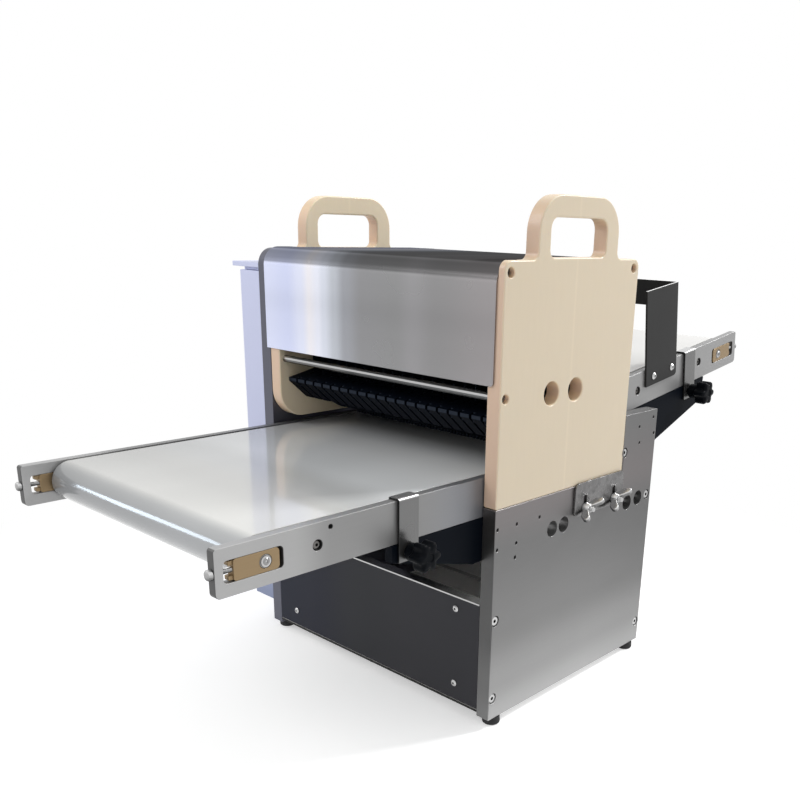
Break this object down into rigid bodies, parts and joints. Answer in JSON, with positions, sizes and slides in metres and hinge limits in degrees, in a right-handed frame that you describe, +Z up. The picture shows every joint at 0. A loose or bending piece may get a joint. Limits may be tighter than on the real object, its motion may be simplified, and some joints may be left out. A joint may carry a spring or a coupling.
{
  "type": "chicken breast slicer",
  "caption": "Benchtop meat slicer: belts carry chicken breasts through a multi-blade knife roll in a lift-out nylon cassette, with clamped infeed and outfeed conveyors.",
  "frame": {"origin": "middle of the bounding box in plan, on the plane the feet stand on", "axes": "+Y from the outfeed end to the infeed end, +X to the right seen from the outfeed end, +Z up"},
  "size_m": [0.4732, 0.8834, 0.5768],
  "materials": {
    "steel": "brushed",
    "dark_steel": "satin",
    "cover_steel": "brushed",
    "rail_aluminium": "satin",
    "roller_aluminium": "turned",
    "nylon": "milled, satin",
    "belt": "smooth, glossy",
    "black_nylon": "matt",
    "black_paint": "satin",
    "knife_steel": "ground",
    "brass": "milled, satin",
    "gear_steel": "machined",
    "motor_grey": "satin",
    "pale_paint": "satin",
    "rubber": "matt",
    "start_green": "glossy",
    "stop_red": "glossy"
  },
  "bodies": {
    "frame": {"side_plate_left": "steel", "side_plate_right": "steel", "front_panel": "dark_steel", "rear_panel": "dark_steel", "bottom_plate": "dark_steel", "foot_front_left": "rubber", "foot_front_right": "rubber", "foot_rear_left": "rubber", "foot_rear_right": "rubber", "outfeed_rail_left": "rail_aluminium", "outfeed_rail_right": "rail_aluminium", "infeed_rail_left": "rail_aluminium", "infeed_rail_right": "rail_aluminium", "outfeed_belt": "belt", "infeed_belt": "belt", "outfeed_slider_bed": "steel", "infeed_slider_bed": "steel", "outfeed_arm_left": "black_paint", "outfeed_arm_right": "black_paint", "infeed_arm_left": "black_paint", "infeed_arm_right": "black_paint", "outfeed_strap_right": "steel", "infeed_strap_right": "steel", "outfeed_tension_screw_left": "steel", "outfeed_tension_screw_right": "steel", "infeed_tension_screw_left": "steel", "infeed_tension_screw_right": "steel", "infeed_guard": "dark_steel", "drive_cover": "pale_paint", "drive_cover_lid": "pale_paint", "gear_motor": "motor_grey"},
    "cassette": {"cassette_plate_left": "nylon", "cassette_plate_right": "nylon", "knife_cover": "cover_steel", "tie_rod_front": "steel", "tie_rod_top_front": "steel", "tie_rod_top_rear": "steel", "exit_comb": "black_nylon", "cutting_bed": "black_nylon"},
    "knife": {"knife_shaft": "knife_steel", "knife_stack": "knife_steel"},
    "outfeed_drive": {"outfeed_drive_roller": "roller_aluminium", "outfeed_gear": "gear_steel"},
    "infeed_drive": {"infeed_drive_roller": "roller_aluminium", "infeed_gear": "gear_steel"},
    "knife_drive": {"knife_drive_gear": "gear_steel"},
    "motor_rotor": {"motor_pinion": "gear_steel"},
    "outfeed_tension": {"outfeed_block_left": "brass", "outfeed_block_right": "brass"},
    "infeed_tension": {"infeed_block_left": "brass", "infeed_block_right": "brass"},
    "outfeed_end": {"outfeed_end_roller": "roller_aluminium"},
    "infeed_end": {"infeed_end_roller": "roller_aluminium"},
    "retainer": {"retainer_plate": "steel"},
    "wing_nut_front": {"wing_nut_front": "steel"},
    "wing_nut_rear": {"wing_nut_rear": "steel"},
    "outfeed_knob_right": {"outfeed_knob_right": "black_nylon"},
    "infeed_knob_right": {"infeed_knob_right": "black_nylon"},
    "start_button": {"start_button": "start_green"},
    "stop_button": {"stop_button": "stop_red"}
  },
  "joints": [
    {"name": "outfeed_drive_spin", "type": "hinge", "parent": "frame", "child": "outfeed_drive", "pos_m": [0.019, 0.02773, 0.2716], "axis": [1, 0, 0], "continuous": true},
    {"name": "infeed_drive_spin", "type": "hinge", "parent": "frame", "child": "infeed_drive", "pos_m": [0.019, 0.10043, 0.3425], "axis": [1, 0, 0], "continuous": true},
    {"name": "knife_drive_spin", "type": "hinge", "parent": "frame", "child": "knife_drive", "pos_m": [0.019, -0.00247, 0.3753], "axis": [1, 0, 0], "continuous": true},
    {"name": "cassette_lift", "type": "slide", "parent": "frame", "child": "cassette", "axis": [0, 0, 1], "range_m": [0, 0.22]},
    {"name": "knife_spin", "type": "hinge", "parent": "cassette", "child": "knife", "pos_m": [0.019, -0.00247, 0.3753], "axis": [1, 0, 0], "continuous": true},
    {"name": "motor_spin", "type": "hinge", "parent": "frame", "child": "motor_rotor", "pos_m": [0.019, 0.06119, 0.18162], "axis": [1, 0, 0], "continuous": true},
    {"name": "outfeed_tension", "type": "slide", "parent": "frame", "child": "outfeed_tension", "axis": [0, 1, 0], "range_m": [0, 0.0034]},
    {"name": "outfeed_end_spin", "type": "hinge", "parent": "outfeed_tension", "child": "outfeed_end", "pos_m": [0.019, -0.38687, 0.2716], "axis": [1, 0, 0], "continuous": true},
    {"name": "infeed_tension", "type": "slide", "parent": "frame", "child": "infeed_tension", "axis": [0, -0.9903, -0.1392], "range_m": [0, 0.0034]},
    {"name": "infeed_end_spin", "type": "hinge", "parent": "infeed_tension", "child": "infeed_end", "pos_m": [0.019, 0.38711, 0.38279], "axis": [1, 0, 0], "continuous": true},
    {"name": "retainer_slide", "type": "slide", "parent": "frame", "child": "retainer", "axis": [0, 0, 1], "range_m": [-0.012, 0]},
    {"name": "wing_nut_front_turn", "type": "hinge", "parent": "frame", "child": "wing_nut_front", "pos_m": [0.019, 0.04943, 0.2323], "axis": [1, 0, 0], "range_deg": [0, 360]},
    {"name": "wing_nut_rear_turn", "type": "hinge", "parent": "frame", "child": "wing_nut_rear", "pos_m": [0.019, 0.10943, 0.2323], "axis": [1, 0, 0], "range_deg": [0, 360]},
    {"name": "outfeed_knob_right_turn", "type": "hinge", "parent": "frame", "child": "outfeed_knob_right", "pos_m": [0.019, -0.22227, 0.24075], "axis": [1, 0, 0], "range_deg": [0, 360]},
    {"name": "infeed_knob_right_turn", "type": "hinge", "parent": "frame", "child": "infeed_knob_right", "pos_m": [0.019, 0.30773, 0.34048], "axis": [1, 0, 0], "range_deg": [0, 360]},
    {"name": "start_press", "type": "slide", "parent": "frame", "child": "start_button", "axis": [1, 0, 0], "range_m": [0, 0.003], "stiffness_N_per_m": 200},
    {"name": "stop_press", "type": "slide", "parent": "frame", "child": "stop_button", "axis": [1, 0, 0], "range_m": [0, 0.003], "stiffness_N_per_m": 200}
  ],
  "couplings": [
    {"joint": "infeed_drive_spin", "follows": "outfeed_drive_spin", "ratio": 1},
    {"joint": "knife_drive_spin", "follows": "outfeed_drive_spin", "ratio": -2},
    {"joint": "knife_spin", "follows": "outfeed_drive_spin", "ratio": -2},
    {"joint": "motor_spin", "follows": "outfeed_drive_spin", "ratio": -3},
    {"joint": "outfeed_end_spin", "follows": "outfeed_drive_spin", "ratio": 1},
    {"joint": "infeed_end_spin", "follows": "outfeed_drive_spin", "ratio": 1}
  ]
}
